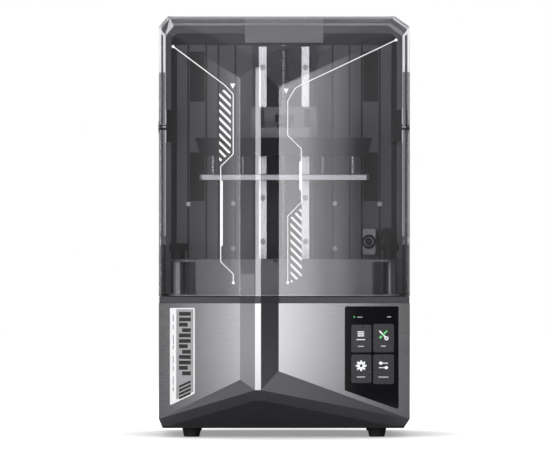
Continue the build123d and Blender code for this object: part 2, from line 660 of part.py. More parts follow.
with BuildPart() as hinge_brackets:
    for side in (-1, 1):
        block(side * bracket_in, side * bracket_out, bracket_front, bracket_rear, bracket_low, bracket_high)
        block(side * (bracket_in + 3), side * (bracket_out - 4), bracket_front, bracket_front + 4,
              bracket_low + 3, bracket_high - 2.4, Mode.SUBTRACT)
        rod_x(pivot_y, pivot_z, side * (bracket_in + 3), side * half, pin_radius, Mode.SUBTRACT)
save(hinge_brackets, "hinge_brackets")

with BuildPart() as hinge_pins:
    for side in (-1, 1):
        rod_x(pivot_y, pivot_z, side * (bracket_in + 3), side * (half + 1.5), pin_radius)
save(hinge_pins, "hinge_pins")

with BuildPart() as top_lamp:
    block(-lamp_half, lamp_half, wall_face - 12, wall_face, lamp_low_z, lamp_high_z)
    fillet(top_lamp.edges().filter_by(Axis.Y), 2)
    block(-lamp_root_half, lamp_root_half, wall_face, wall_face + 14, lamp_root_low, lamp_high_z)
save(top_lamp, "top_lamp")

# ---------------------------------------------------------------- lid
cap_proud, cap_reach, cap_face = 5.0, 14.0, 8.0

with BuildPart() as lid_shell:
    add(full_form)
    add(inner_form, mode=Mode.SUBTRACT)
    with BuildSketch(Plane.YZ.offset(-half)):
        with BuildLine():
            foot_y0 = pivot_y - 1
            start = (foot_y0, pivot_z - math.sqrt(lid_sweep ** 2 - 1))
            end = (lid_back, pivot_z - math.sqrt(lid_sweep ** 2 - (lid_back - pivot_y) ** 2))
            lean = math.atan2(lid_back - pivot_y, pivot_z - end[1]) / 2
            through = (pivot_y + lid_sweep * math.sin(lean), pivot_z - lid_sweep * math.cos(lean))
            ThreePointArc(start, through, end)
            Polyline(end, (lid_back, height), (front, height), (front, lid_bottom),
                     (foot_y0, lid_bottom), start)
        make_face()
    extrude(amount=width, mode=Mode.INTERSECT)
    rod_x(pivot_y, pivot_z, -half, half, pin_radius + running_fit, Mode.SUBTRACT)
save(lid_shell, "lid_shell")

with BuildPart() as pivot_caps:
    for side in (-1, 1):
        for x, reach in ((half, cap_reach), (half + cap_proud, cap_face)):
            with BuildSketch(Plane(origin=(side * x, pivot_y, pivot_z), x_dir=(0, 1, 0), z_dir=(side, 0, 0))):
                Polygon((-reach, 0), (0, -reach), (reach, 0), (0, reach), align=None)
        loft()
        rod_x(pivot_y, pivot_z, side * half, side * (half + 3), pin_radius + 0.3, Mode.SUBTRACT)
save(pivot_caps, "pivot_caps")

# ---------------------------------------------------------------- Z axis
column_half, column_rear, column_top = 42.0, 100.0, 516.0
rail_half, rail_deep, rail_low = 6.0, 8.0, 200.0
rail_front = column_y - rail_deep
screw_low, screw_top = 184.0, 516.0
shaft_radius, coupling_radius = 2.5, 7.0
motor_top = deck_low - 3.0
plate_front, plate_rear = 54.0, 62.0
plate_half = 44.0

with BuildPart() as z_column:
    block(-column_half, column_half, column_y, column_rear, base_top, column_top)
    for x in (-column_half, column_half):
        block(x - 3, x + 3, column_y + 6, column_y + 14, base_top + 8, column_top, Mode.SUBTRACT)
    block(-14, 14, column_y, column_y + 3, base_top + 8, column_top, Mode.SUBTRACT)
    block(-16, 16, column_rear, wall_face, 260, 300)
    block(-16, 16, column_rear, wall_face, 440, 480)
save(z_column, "z_column")

screw_heights = [rail_top - 27.6 - 58.0 * step for step in range(5)]
with BuildPart() as rails:
    for x in (-rail_x, rail_x):
        block(x - rail_half, x + rail_half, rail_front, column_y, rail_low, rail_top)
    chamfer(rails.edges().filter_by(Axis.Z).group_by(Axis.Y)[0], 1)
    for x in (-rail_x, rail_x):
        for z in screw_heights:
            rod_y(x, z, rail_front, rail_front + 3, 3.9, Mode.SUBTRACT)
save(rails, "rails")

with BuildPart() as cap_screws:
    for x in (-rail_x, rail_x):
        for z in screw_heights:
            rod_y(x, z, rail_front + 0.3, rail_front + 3, 3.7)
            rod_y(x, z, rail_front, rail_front + 1.8, 1.8, Mode.SUBTRACT)
    for x, z in ((128.0, 304.0), (68.0, 304.8), (68.0, 244.8)):
        for side in (-1, 1):
            rod_y(side * x, z, wall_face - 2, wall_face, 3.2)
            rod_y(side * x, z, wall_face - 2, wall_face - 0.6, 1.5, Mode.SUBTRACT)
save(cap_screws, "cap_screws")

with BuildPart() as lead_screw:
    rod(0, screw_y, screw_low, screw_top, screw_radius)
    chamfer(lead_screw.edges().sort_by(Axis.Z)[-1], 0.6)
    rod(0, screw_y, motor_top + 4, screw_low + 12, coupling_radius)
    rod(0, screw_y, motor_top - 14, motor_top + 6, shaft_radius)
save(lead_screw, "lead_screw")

with BuildPart() as z_motor:
    block(-21, 21, screw_y - 21, screw_y + 21, motor_top - 40, motor_top)
    chamfer(z_motor.edges().filter_by(Axis.Z), 4)
    block(-26, 26, deck_rear, screw_y + 26, motor_top, deck_low)
    rod(0, screw_y, motor_top - 15, deck_low, shaft_radius + running_fit, Mode.SUBTRACT)
save(z_motor, "z_motor")

with BuildPart() as screw_bearing:
    block(-10, 10, screw_y - 6.5, column_y + 3, 509, 513.6)
    rod(0, screw_y, 509, 513.6, screw_radius + running_fit, Mode.SUBTRACT)
save(screw_bearing, "screw_bearing")

# ---------------------------------------------------------------- carriage
with BuildPart() as rail_blocks:
    for x in (-rail_x, rail_x):
        block(x - 13.5, x + 13.5, plate_rear, column_y - 3, carriage_low + 4, carriage_high - 4)
        block(x - rail_half - clearance, x + rail_half + clearance, rail_front - clearance, column_y,
              carriage_low, carriage_high, Mode.SUBTRACT)
save(rail_blocks, "rail_blocks")

with BuildPart() as carriage_plate:
    block(-plate_half, plate_half, plate_front, plate_rear, carriage_low, carriage_high)
    fillet(carriage_plate.edges().filter_by(Axis.Y), 3)
    for x in (-22.5, 27.5):
        rod_y(x, carriage_high - 9.5, plate_front, plate_front + 2, 4, Mode.SUBTRACT)
        rod_y(x, carriage_high - 9.5, plate_front + 0.4, plate_front + 2, 3.5)
save(carriage_plate, "carriage_plate")

with BuildPart() as lead_nut:
    block(-11, 11, plate_rear, column_y - 2, carriage_low + 12, carriage_high - 13)
    rod(0, screw_y, carriage_low, carriage_high, screw_radius + 0.4, Mode.SUBTRACT)
save(lead_nut, "lead_nut")

arm_half, arm_front = 33.0, -52.0
arm_top = 404.0
with BuildPart() as platform_arm:
    with BuildSketch(Plane.YZ.offset(-arm_half)):
        Polygon((arm_front, carriage_low), (plate_front, carriage_low), (plate_front, carriage_high - 3),
                (plate_front - 6, carriage_high - 3), (16, arm_top), (arm_front, arm_top), align=None)
    extrude(amount=2 * arm_half)
    block(-arm_half + 6, arm_half - 6, -16, plate_front - 6, arm_top, carriage_high, Mode.SUBTRACT)
save(platform_arm, "platform_arm")

lever_y = vat_y
with BuildPart() as lock_lever:
    rod(0, lever_y, arm_top + clearance, 411, 9)
    block(-12, 12, lever_y - 30, lever_y + 8, 411, 421)
    fillet(lock_lever.edges().filter_by(Axis.Z), 3)
save(lock_lever, "lock_lever")

# ---------------------------------------------------------------- build platform
carrier_half, carrier_low_half = 115.0, 109.0
carrier_y_half, carrier_low_y_half = 66.0, 60.0
carrier_low, carrier_top = 367.0, carriage_low
carrier_wall = 3.0
build_half, build_y_half, build_low, build_top = 111.0, 63.0, 335.0, 342.4
post_places = [(-93.0, vat_y - 42), (-54.0, vat_y + 42), (51.5, vat_y + 42), (90.0, vat_y - 42)]
bolt_radius, spring_inner, spring_outer = 2.2, 2.6, 3.5

with BuildPart() as plate_carrier:
    for shrink, mode in ((0.0, Mode.ADD), (carrier_wall, Mode.SUBTRACT)):
        with BuildSketch(Plane.XY.offset(carrier_low + shrink)):
            with Locations((0, vat_y)):
                Rectangle(2 * (carrier_low_half - shrink), 2 * (carrier_low_y_half - shrink))
        with BuildSketch(Plane.XY.offset(carrier_top)):
            with Locations((0, vat_y)):
                Rectangle(2 * (carrier_half - shrink), 2 * (carrier_y_half - shrink))
        loft(mode=mode)
    block(-36, 36, vat_y - 34, vat_y + 34, carrier_low, carrier_top)
    for x, y in post_places:
        rod(x, y, carrier_low, carrier_low + carrier_wall, bolt_radius + clearance, Mode.SUBTRACT)
    with Locations((-carrier_half + 0.6, vat_y - 50, carrier_top - 2.5)):
        Sphere(2.2)
save(plate_carrier, "plate_carrier")

with BuildPart() as build_plate:
    block(-build_half, build_half, vat_y - build_y_half, vat_y + build_y_half, build_low, build_top)
    fillet(build_plate.edges().filter_by(Axis.Z), 4)
    chamfer(build_plate.faces().sort_by(Axis.Z)[-1].edges(), 1)
save(build_plate, "build_plate")

with BuildPart() as guide_bolts:
    for x, y in post_places:
        rod(x, y, build_top, carrier_low + carrier_wall + clearance, bolt_radius)
        rod(x, y, carrier_low + carrier_wall + clearance, carrier_low + carrier_wall + 4, 4.5)
save(guide_bolts, "guide_bolts")

with BuildPart() as plate_springs:
    for x, y in post_places:
        rod(x, y, build_top, carrier_low, spring_outer)
        rod(x, y, build_top, carrier_low, spring_inner, Mode.SUBTRACT)
save(plate_springs, "plate_springs")

# ---------------------------------------------------------------- chamber camera
camera = Plane(origin=(115.2, 78, 253.8), x_dir=(math.cos(math.radians(14)), -math.sin(math.radians(14)), 0),
               z_dir=(-math.sin(math.radians(14)), -math.cos(math.radians(14)), 0))

with BuildPart() as camera_body:
    with BuildSketch(camera.offset(-10)):
        RectangleRounded(17.4, 34.3, 3)
    extrude(amount=18)
    with BuildSketch(camera.offset(6)):
        Circle(9.6)
    extrude(amount=2, mode=Mode.SUBTRACT)
save(camera_body, "camera_body")

with BuildPart() as camera_lens:
    with BuildSketch(camera.offset(6)):
        Circle(9.4)
    extrude(amount=4)
    with BuildSketch(camera.offset(8)):
        Circle(6.4)
        Circle(4.2, mode=Mode.SUBTRACT)
    extrude(amount=3)
save(camera_lens, "camera_lens")

with BuildPart() as camera_bracket:
    block(132, 142.8, 80, wall_face, 252, 272)
    block(112, 132, 92, wall_face, 256, 268)
save(camera_bracket, "camera_bracket")
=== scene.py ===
import math
import bmesh
import bpy
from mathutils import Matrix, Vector

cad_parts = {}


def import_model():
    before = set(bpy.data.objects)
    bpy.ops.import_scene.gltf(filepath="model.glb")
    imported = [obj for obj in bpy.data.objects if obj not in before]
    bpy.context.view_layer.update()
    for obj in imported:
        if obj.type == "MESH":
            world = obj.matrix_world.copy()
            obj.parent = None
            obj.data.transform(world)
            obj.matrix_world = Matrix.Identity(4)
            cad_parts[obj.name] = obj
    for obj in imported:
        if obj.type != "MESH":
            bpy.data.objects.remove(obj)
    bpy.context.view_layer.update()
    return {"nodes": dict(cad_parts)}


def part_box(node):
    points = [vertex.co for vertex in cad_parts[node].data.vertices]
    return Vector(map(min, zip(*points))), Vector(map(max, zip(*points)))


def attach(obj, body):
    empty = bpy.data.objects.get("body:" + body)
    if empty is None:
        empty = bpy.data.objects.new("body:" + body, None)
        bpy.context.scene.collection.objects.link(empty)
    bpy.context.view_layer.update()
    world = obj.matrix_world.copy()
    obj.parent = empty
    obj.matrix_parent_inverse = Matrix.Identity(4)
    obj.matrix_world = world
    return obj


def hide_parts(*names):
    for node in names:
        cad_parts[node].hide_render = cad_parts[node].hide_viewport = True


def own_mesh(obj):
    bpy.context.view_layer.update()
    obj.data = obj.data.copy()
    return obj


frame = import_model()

# Resin printer: materials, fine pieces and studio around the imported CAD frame. Metres throughout, but
# the outlines of flat artwork are in mm.

# ---------------------------------------------------------------- places taken from the frame
MM = 0.001
nodes = frame["nodes"]
lid_low, lid_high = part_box("lid_shell")
half = lid_high.x
front = lid_low.y
corner_y = front + 32 * MM            # plane of the outer front corners
left_edge = Vector((-57.4 * MM, corner_y - 14 * MM, 0))     # where the left panel meets the ridge
right_edge = Vector((-7.3 * MM, corner_y - 12 * MM, 0))     # where the right panel meets it
left_corner = Vector((-half, corner_y, 0))
right_corner = Vector((half, corner_y, 0))


# ---------------------------------------------------------------- node helpers
def add(tree, kind, **values):
    """New node. Values go to its input sockets if it has them by that name, else to its settings."""
    made = tree.nodes.new(kind)
    for key, value in values.items():
        socket = key.replace("_", " ")
        if socket in made.inputs:
            made.inputs[socket].default_value = value
        else:
            setattr(made, key, value)
    return made


def principled(name, color, roughness, metallic=0.0, **sockets):
    """New material and its Principled shader with uniform values set on the sockets."""
    made = bpy.data.materials.new(name)
    made.use_nodes = True
    shader = made.node_tree.nodes["Principled BSDF"]
    shader.inputs["Base Color"].default_value = (*color, 1)
    shader.inputs["Roughness"].default_value = roughness
    shader.inputs["Metallic"].default_value = metallic
    for key, value in sockets.items():
        shader.inputs[key.replace("_", " ")].default_value = value
    made.diffuse_color = (*color, 1)
    return made, made.node_tree, shader


def grain(tree, scale, stretch=(1, 1, 1), detail=3.0, roughness=0.55):
    """Noise over the object's own coordinates, stretched along some axes."""
    place = add(tree, "ShaderNodeTexCoord")
    mapping = add(tree, "ShaderNodeMapping", Scale=stretch)
    noise = add(tree, "ShaderNodeTexNoise", Scale=scale, Detail=detail, Roughness=roughness)
    tree.links.new(place.outputs["Object"], mapping.inputs["Vector"])
    tree.links.new(mapping.outputs["Vector"], noise.inputs["Vector"])
    return noise.outputs["Fac"]


def spread(tree, source, low, high):
    """Map a 0 to 1 texture onto a range of values."""
    mapped = add(tree, "ShaderNodeMapRange")
    mapped.inputs["From Min"].default_value = 0.3
    mapped.inputs["From Max"].default_value = 0.7
    mapped.inputs["To Min"].default_value = low
    mapped.inputs["To Max"].default_value = high
    tree.links.new(source, mapped.inputs["Value"])
    return mapped.outputs["Result"]


def tint(tree, shader, source, dark, light):
    """Base colour that runs between two shades with a texture."""
    ramp = add(tree, "ShaderNodeValToRGB")
    ramp.color_ramp.elements[0].position = 0.3
    ramp.color_ramp.elements[1].position = 0.7
    ramp.color_ramp.elements[0].color = (*dark, 1)
    ramp.color_ramp.elements[1].color = (*light, 1)
    tree.links.new(source, ramp.inputs["Fac"])
    tree.links.new(ramp.outputs["Color"], shader.inputs["Base Color"])


def relief(tree, shader, source, distance, strength=1.0):
    """Bump of a given depth in metres."""
    bump = add(tree, "ShaderNodeBump", Strength=strength, Distance=distance)
    tree.links.new(source, bump.inputs["Height"])
    tree.links.new(bump.outputs["Normal"], shader.inputs["Normal"])


def finish_of(name, color, roughness, metallic=0.0, scale=900.0, stretch=(1, 1, 1), vary=0.08,
              rough_vary=0.05, depth=0.00002, **sockets):
    """Standard surface: colour and roughness that wander a little, and a fine grain in relief."""
    made, tree, shader = principled(name, color, roughness, metallic, **sockets)
    fine = grain(tree, scale, stretch)
    broad = grain(tree, 9.0)
    tint(tree, shader, broad, [c * (1 - vary) for c in color], [min(1, c * (1 + vary)) for c in color])
    rough = spread(tree, fine, roughness - rough_vary, roughness + rough_vary)
    tree.links.new(rough, shader.inputs["Roughness"])
    relief(tree, shader, fine, depth)
    return made


def dress(material, *names):
    """Give CAD nodes a material."""
    for name in names:
        mesh = nodes[name].data
        mesh.materials.clear()
        mesh.materials.append(material)


def soften(name, width, segments=2, angle=30):
    """Weld and bevel a CAD node's sharp edges."""
    weld = nodes[name].modifiers.new("weld", "WELD")
    weld.merge_threshold = 0.000005
    bevel = nodes[name].modifiers.new("bevel", "BEVEL")
    bevel.width = width
    bevel.segments = segments
    bevel.limit_method = "ANGLE"
    bevel.angle_limit = math.radians(angle)
    bevel.use_clamp_overlap = True
    bevel.harden_normals = False


# ---------------------------------------------------------------- kinds of material
def brushed_paint(name, color, roughness, metallic):
    """Satin metallic paint with a fine horizontal brushed texture and fine flake."""
    made, tree, shader = principled(name, color, roughness, metallic, Coat_Weight=0.1, Coat_Roughness=0.12)
    strokes = grain(tree, 60.0, (1, 1, 28), detail=6.0, roughness=0.7)
    flake = grain(tree, 2600.0)
    tint(tree, shader, strokes, [c * 0.94 for c in color], [c * 1.06 for c in color])
    rough = spread(tree, strokes, roughness - 0.03, roughness + 0.03)
    tree.links.new(rough, shader.inputs["Roughness"])
    relief(tree, shader, flake, 0.000001)
    return made


REAR_FROM = 90 * MM      # the lid's cut rear edges lie behind this Y


def clear_plastic(name, through, index, roughness=0.02, rear=None):
    """Transparent moulding: a tint by transparency, and a gloss that grows towards grazing on both faces.

    Faces that point to the rear and lie behind REAR_FROM take the rear tint, if there is one: painted shade,
    a near black tint that stands in for the dark lines seen along the cut edges of the walls.
    """
    made, tree, shader = principled(name, (0.9, 0.9, 0.92), roughness, 1.0)
    see_through = add(tree, "ShaderNodeBsdfTransparent", Color=(*through, 1))
    facing = add(tree, "ShaderNodeLayerWeight", Blend=0.5)
    steep = add(tree, "ShaderNodeMath", operation="POWER")
    steep.inputs[1].default_value = 5
    edge = add(tree, "ShaderNodeMapRange")
    edge.inputs["To Min"].default_value = ((index - 1) / (index + 1)) ** 2
    tree.links.new(facing.outputs["Facing"], steep.inputs[0])
    tree.links.new(steep.outputs["Value"], edge.inputs["Value"])
    mixed = add(tree, "ShaderNodeMixShader")
    # painted shade: rear-facing faces behind REAR_FROM let through only the near black rear tint
    if rear:
        place = add(tree, "ShaderNodeTexCoord")
        both = add(tree, "ShaderNodeMath", operation="MULTIPLY")
        for i, (output, limit) in enumerate((("Normal", 0.7), ("Object", REAR_FROM))):
            split = add(tree, "ShaderNodeSeparateXYZ")
            over = add(tree, "ShaderNodeMath", operation="GREATER_THAN")
            over.inputs[1].default_value = limit
            tree.links.new(place.outputs[output], split.inputs["Vector"])
            tree.links.new(split.outputs["Y"], over.inputs[0])
            tree.links.new(over.outputs["Value"], both.inputs[i])
        ramp = add(tree, "ShaderNodeValToRGB")
        ramp.color_ramp.elements[0].color = (*through, 1)
        ramp.color_ramp.elements[1].color = (*rear, 1)
        tree.links.new(both.outputs["Value"], ramp.inputs["Fac"])
        tree.links.new(ramp.outputs["Color"], see_through.inputs["Color"])
    polish = grain(tree, 14.0)
    tree.links.new(spread(tree, polish, roughness * 0.7, roughness * 1.3), shader.inputs["Roughness"])
    tree.links.new(edge.outputs["Result"], mixed.inputs["Fac"])
    tree.links.new(see_through.outputs["BSDF"], mixed.inputs[1])
    tree.links.new(shader.outputs["BSDF"], mixed.inputs[2])
    tree.links.new(mixed.outputs["Shader"], tree.nodes["Material Output"].inputs["Surface"])
    return made


def ground_steel(name, color, roughness, stretch):
    """Ground or turned metal with fine tool marks along one direction."""
    made, tree, shader = principled(name, color, roughness, 1.0)
    marks = grain(tree, 400.0, stretch, detail=5.0, roughness=0.7)
    tint(tree, shader, marks, [c * 0.8 for c in color], [min(1, c * 1.1) for c in color])
    tree.links.new(spread(tree, marks, roughness - 0.08, roughness + 0.08), shader.inputs["Roughness"])
    relief(tree, shader, marks, 0.00001)
    return made


def glowing(name, color, strength):
    """Frosted diffuser or a lit mark on a screen."""
    made, tree, shader = principled(name, color, 0.45, 0.0, Emission_Color=(*color, 1),
                                    Emission_Strength=strength)
    frost = grain(tree, 700.0)
    tree.links.new(spread(tree, frost, 0.4, 0.5), shader.inputs["Roughness"])
    return made


# near black, both for the badge's black print and for painted shade in the wall's grooves
BLACK_INK_AND_GROOVE_SHADE = (0.012, 0.012, 0.013)


def groove_shaded_plastic(name, color, roughness, shade_from):
    """Moulded wall. Its grooves and hollows, behind a given Y, are painted near black: painted shade, for the
    shade that falls in them.
    """
    made, tree, shader = principled(name, color, roughness, 0.2)
    fine = grain(tree, 1600.0)
    place = add(tree, "ShaderNodeTexCoord")
    split = add(tree, "ShaderNodeSeparateXYZ")
    groove_shade_mask = add(tree, "ShaderNodeMath", operation="GREATER_THAN")
    groove_shade_mask.inputs[1].default_value = shade_from
    tree.links.new(place.outputs["Object"], split.inputs["Vector"])
    tree.links.new(split.outputs["Y"], groove_shade_mask.inputs[0])
    # painted shade: the grooves' floors take the near black
    tint(tree, shader, groove_shade_mask.outputs["Value"], color, BLACK_INK_AND_GROOVE_SHADE)
    rough = spread(tree, fine, roughness - 0.05, roughness + 0.05)
    tree.links.new(rough, shader.inputs["Roughness"])
    relief(tree, shader, fine, 0.00002)
    return made


# ---------------------------------------------------------------- the object's materials
silver_paint = brushed_paint("silver_paint", (0.31, 0.307, 0.317), 0.18, 1.0)
frame_paint = finish_of("frame_paint", (0.20, 0.20, 0.205), 0.42, 0.3, scale=1400)
# the rear tint of the lid is painted shade on its cut rear edges
smoked_acrylic = clear_plastic("smoked_acrylic", (0.82, 0.82, 0.83), 1.85, rear=(0.05, 0.05, 0.055))
clear_lens = clear_plastic("clear_lens", (0.95, 0.95, 0.96), 1.5)
clear_film = clear_plastic("clear_film", (0.9, 0.9, 0.93), 1.4)
dark_paint = finish_of("dark_paint", (0.085, 0.085, 0.09), 0.42, 0.3, scale=1400, depth=0.00003)
black_plastic = finish_of("black_plastic", (0.024, 0.024, 0.026), 0.46, scale=1600, depth=0.00004)

groove_depth = 0.5 * MM      # half of what the shallowest groove has
# the wall's grooves get painted shade from this depth back
wall_plastic = groove_shaded_plastic("wall_plastic", (0.16, 0.159, 0.168), 0.38,
                               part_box("chamber_wall")[0].y + groove_depth)
rim_plastic = finish_of("rim_plastic", (0.06, 0.06, 0.065), 0.4, scale=1600)
tray_plastic = finish_of("tray_plastic", (0.042, 0.043, 0.048), 0.42, scale=1500)
rocker_plastic = finish_of("rocker_plastic", (0.03, 0.03, 0.03), 0.2, rough_vary=0.03)
black_rubber = finish_of("black_rubber", (0.018, 0.018, 0.019), 0.75, scale=700, depth=0.00006)
screen_glass = finish_of("screen_glass", (0.006, 0.006, 0.008), 0.045, rough_vary=0.01, depth=0.0, scale=300,
                         Specular_IOR_Level=0.25)
# the badge glows a little: painted light that makes it brighter than the lamps make it
badge_metal = finish_of("badge_metal", (0.88, 0.88, 0.89), 0.4, 0.0, scale=1200,
                        Emission_Color=(1, 1, 1, 1), Emission_Strength=0.25)
aluminium = finish_of("aluminium", (0.52, 0.52, 0.54), 0.34, 0.95, scale=1300, depth=0.00003)
vat_metal = finish_of("vat_metal", (0.18, 0.18, 0.19), 0.36, 0.8, scale=1300, depth=0.00003)
black_anodised = finish_of("black_anodised", (0.05, 0.05, 0.055), 0.38, 0.55, scale=1500)
steel = ground_steel("steel", (0.72, 0.72, 0.73), 0.26, (1, 1, 0.04))
screw_steel = ground_steel("screw_steel", (0.55, 0.55, 0.56), 0.3, (1, 1, 1))
motor_black = finish_of("motor_black", (0.03, 0.03, 0.032), 0.4, 0.3, scale=1000)
dark_screws = finish_of("dark_screws", (0.42, 0.42, 0.43), 0.3, 0.8, scale=900)
brass = ground_steel("brass", (0.62, 0.45, 0.19), 0.3, (1, 1, 1))
camera_glass = finish_of("camera_glass", (0.01, 0.01, 0.012), 0.12, rough_vary=0.03, scale=600,
                         Coat_Weight=0.6)
lamp_diffuser = glowing("lamp_diffuser", (0.42, 0.42, 0.44), 0.12)
circuit_board = finish_of("circuit_board", (0.012, 0.09, 0.04), 0.35, scale=500)

dress(silver_paint, "base_shell")
dress(frame_paint, "face_frame")
dress(smoked_acrylic, "lid_shell")
dress(clear_lens, "lamp_lens")
dress(clear_film, "release_film")
dress(dark_paint, "tower_shell", "rear_panel", "deck_plate")
dress(wall_plastic, "chamber_wall")
dress(rim_plastic, "deck_rim")
dress(tray_plastic, "bottom_tray")
dress(black_plastic, "wall_edges", "hinge_brackets", "pivot_caps", "fan_frames", "fan_rotor_left",
      "fan_rotor_right", "power_inlet", "camera_bracket", "screw_bearing", "lock_lever", "lamp_housing",
      "display_module", "vat_knob_left", "vat_knob_right")
dress(rocker_plastic, "power_rocker", "tilt_cam")
dress(black_rubber, "feet", "lid_seal")
dress(screen_glass, "touch_glass", "mask_screen")
dress(badge_metal, "badge_plate")
dress(aluminium, "tilt_frame", "film_ring", "build_plate", "heat_sink", "led_board", "camera_body")
dress(vat_metal, "resin_vat", "carriage_plate", "platform_arm")
dress(black_anodised, "z_column", "plate_carrier")
dress(steel, "rails", "rail_blocks", "guide_bolts", "hinge_pins", "tilt_pins", "tilt_bearings", "usb_port")
dress(screw_steel, "lead_screw", "plate_springs")
dress(dark_screws, "cap_screws")
dress(motor_black, "z_motor", "tilt_motor", "power_supply")
dress(brass, "lead_nut")
dress(camera_glass, "camera_lens")
dress(lamp_diffuser, "top_lamp")
dress(circuit_board, "mainboard")

edge_width = 0.6 * MM
for name in ("base_shell", "lid_shell", "bottom_tray", "touch_glass", "build_plate", "plate_carrier",
             "resin_vat", "deck_rim", "pivot_caps", "tower_shell", "face_frame", "camera_body", "top_lamp"):
    soften(name, edge_width)


# ---------------------------------------------------------------- flat artwork on the slanted panels
class Panel:
    """A slanted front panel between two upright edges. Points on it are given by row X and Z in mm."""

    def __init__(self, start, end):
        self.start = Vector(start)
        self.run = (Vector(end) - self.start).normalized()
        self.out = self.run.cross(Vector((0, 0, 1)))

    def place(self, x, z, lift=0.0):
        point = self.start + self.run * ((x * MM - self.start.x) / self.run.x) + self.out * lift
        return Vector((point.x, point.y, z * MM))


left_panel = Panel(left_corner, left_edge)
right_panel = Panel(right_edge, right_corner)


def disc(x, z, radius, inner=0.0, count=28):
    """Round spot, or the outline of a ring with its inner circle, as strips."""
    turn = [2 * math.pi * step / count for step in range(count)]
    outer = [(x + radius * math.cos(a), z + radius * math.sin(a)) for a in turn]
    if not inner:
        return [outer]
    core = [(x + inner * math.cos(a), z + inner * math.sin(a)) for a in turn]
    return [[outer[i], outer[(i + 1) % count], core[(i + 1) % count], core[i]] for i in range(count)]


def bar(x0, z0, x1, z1, round_by=0.0):
    """Upright rectangle, with rounded corners if asked."""
    if not round_by:
        return [[(x0, z0), (x1, z0), (x1, z1), (x0, z1)]]
    points = []
    for cx, cz, start in ((x1 - round_by, z0 + round_by, -90), (x1 - round_by, z1 - round_by, 0),
                          (x0 + round_by, z1 - round_by, 90), (x0 + round_by, z0 + round_by, 180)):
        for step in range(5):
            a = math.radians(start + 22.5 * step)
            points.append((cx + round_by * math.cos(a), cz + round_by * math.sin(a)))
    return [points]


def line(points, width):
    """Strip along a bent line, mitred at its corners."""
    sides = []
    for i, (x, z) in enumerate(points):
        before = Vector(points[max(i - 1, 0)])
        after = Vector(points[min(i + 1, len(points) - 1)])
        here = Vector((x, z))
        a = (here - before).normalized() if i else (after - here).normalized()
        b = (after - here).normalized() if i < len(points) - 1 else a
        across = Vector((-(a.y + b.y), a.x + b.x)).normalized()
        reach = width / 2 / max(0.4, across.dot(Vector((-a.y, a.x))))
        sides.append((here + across * reach, here - across * reach))
    return [[tuple(p[0]), tuple(q[0]), tuple(q[1]), tuple(p[1])] for p, q in zip(sides, sides[1:])]


def artwork(name, panel, shapes, lift, thick, material, body):
    """Thin raised pieces on a panel: each shape is a closed outline in row X and Z, in mm."""
    mesh = bpy.data.meshes.new(name)
    build = bmesh.new()
    for outline in shapes:
        area = sum(a[0] * b[1] - b[0] * a[1] for a, b in zip(outline, outline[1:] + outline[:1]))
        ordered = outline if area > 0 else outline[::-1]
        low = [build.verts.new(panel.place(x, z, lift)) for x, z in ordered]
        high = [build.verts.new(panel.place(x, z, lift + thick)) for x, z in ordered]
        build.faces.new(high)
        build.faces.new(low[::-1])
        for i, vert in enumerate(low):
            nxt = (i + 1) % len(low)
            build.faces.new((vert, low[nxt], high[nxt], high[i]))
    bmesh.ops.recalc_face_normals(build, faces=build.faces)
    build.to_mesh(mesh)
    build.free()
    made = bpy.data.objects.new(name, mesh)
    bpy.context.scene.collection.objects.link(made)
    mesh.materials.append(material)
    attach(made, body)
    return made


# the print also glows a little: painted light that makes the white lines brighter than the lamps make them
print_white = finish_of("print_white", (0.85, 0.85, 0.86), 0.35, scale=500, vary=0.03, depth=0.0,
                        Emission_Color=(1, 1, 1, 1), Emission_Strength=0.35)
INK = 0.08 * MM          # printed ink stands this far off a panel
INK_THICK = 0.10 * MM
line_width = 1.15
spot_radius = 1.9
arrow = 3.4              # half of an arrowhead's width and height
hatch_pitch, hatch_thick = 10.4, 4.0


def arrow_down(x, z):
    """Small triangle that points down."""
    return [[(x - arrow, z + arrow), (x, z - arrow), (x + arrow, z + arrow)]]


def keep_side(outline, x, z, slope, above):
    """The part of an outline above or below a slanted line through a point."""
    side = 1 if above else -1
    over = [side * (pz - z - slope * (px - x)) for px, pz in outline]
    kept = []
    for i, point in enumerate(outline):
        after = (i + 1) % len(outline)
        if over[i] >= 0:
            kept.append(point)
        if over[i] * over[after] < 0:
            share = over[i] / (over[i] - over[after])
            kept.append(tuple(a + share * (b - a) for a, b in zip(point, outline[after])))
    return kept


def hatching(x0, x1, z_top, count, roof, floor_line):
    """Bars slanted at 45 degrees between two uprights, cut off by a roof line and a floor line."""
    made = []
    for step in range(count):
        z = z_top - step * hatch_pitch
        fall = x1 - x0
        slanted = [(x0, z), (x0, z - hatch_thick), (x1, z - fall - hatch_thick), (x1, z - fall)]
        slanted = keep_side(keep_side(slanted, *roof, above=False), *floor_line, above=True)
        if len(slanted) > 2:
            made.append(slanted)
    return made


def spots(trace):
    """Round spots at both ends of a trace."""
    return disc(*trace[0], spot_radius) + disc(*trace[-1], spot_radius)


# line drawing printed on the lid: a circuit-like trace between two spots, a bar and a hatched stretch
# on each side, in mm
left_trace = [(-144.3, 507.7), (-77.4, 457.6), (-66.3, 445.6), (-66.3, 368.0), (-82.5, 352.0), (-82.5, 228.4),
              (-66.2, 212.4), (-66.2, 201.0)]
left_art = line(left_trace, line_width) + spots(left_trace)
left_art += [[(-83.0, 246.8), (-79.8, 250.0), (-79.8, 332.4), (-83.0, 335.6)]] + arrow_down(-66.9, 456.0)
left_art += hatching(-84.3, -69.5, 457.7, 10, (-84.3, 447.9, 0.55), (-81.0, 360.0, 0.93))
artwork("lid_print_left", left_panel, left_art, INK, INK_THICK, print_white, "lid")

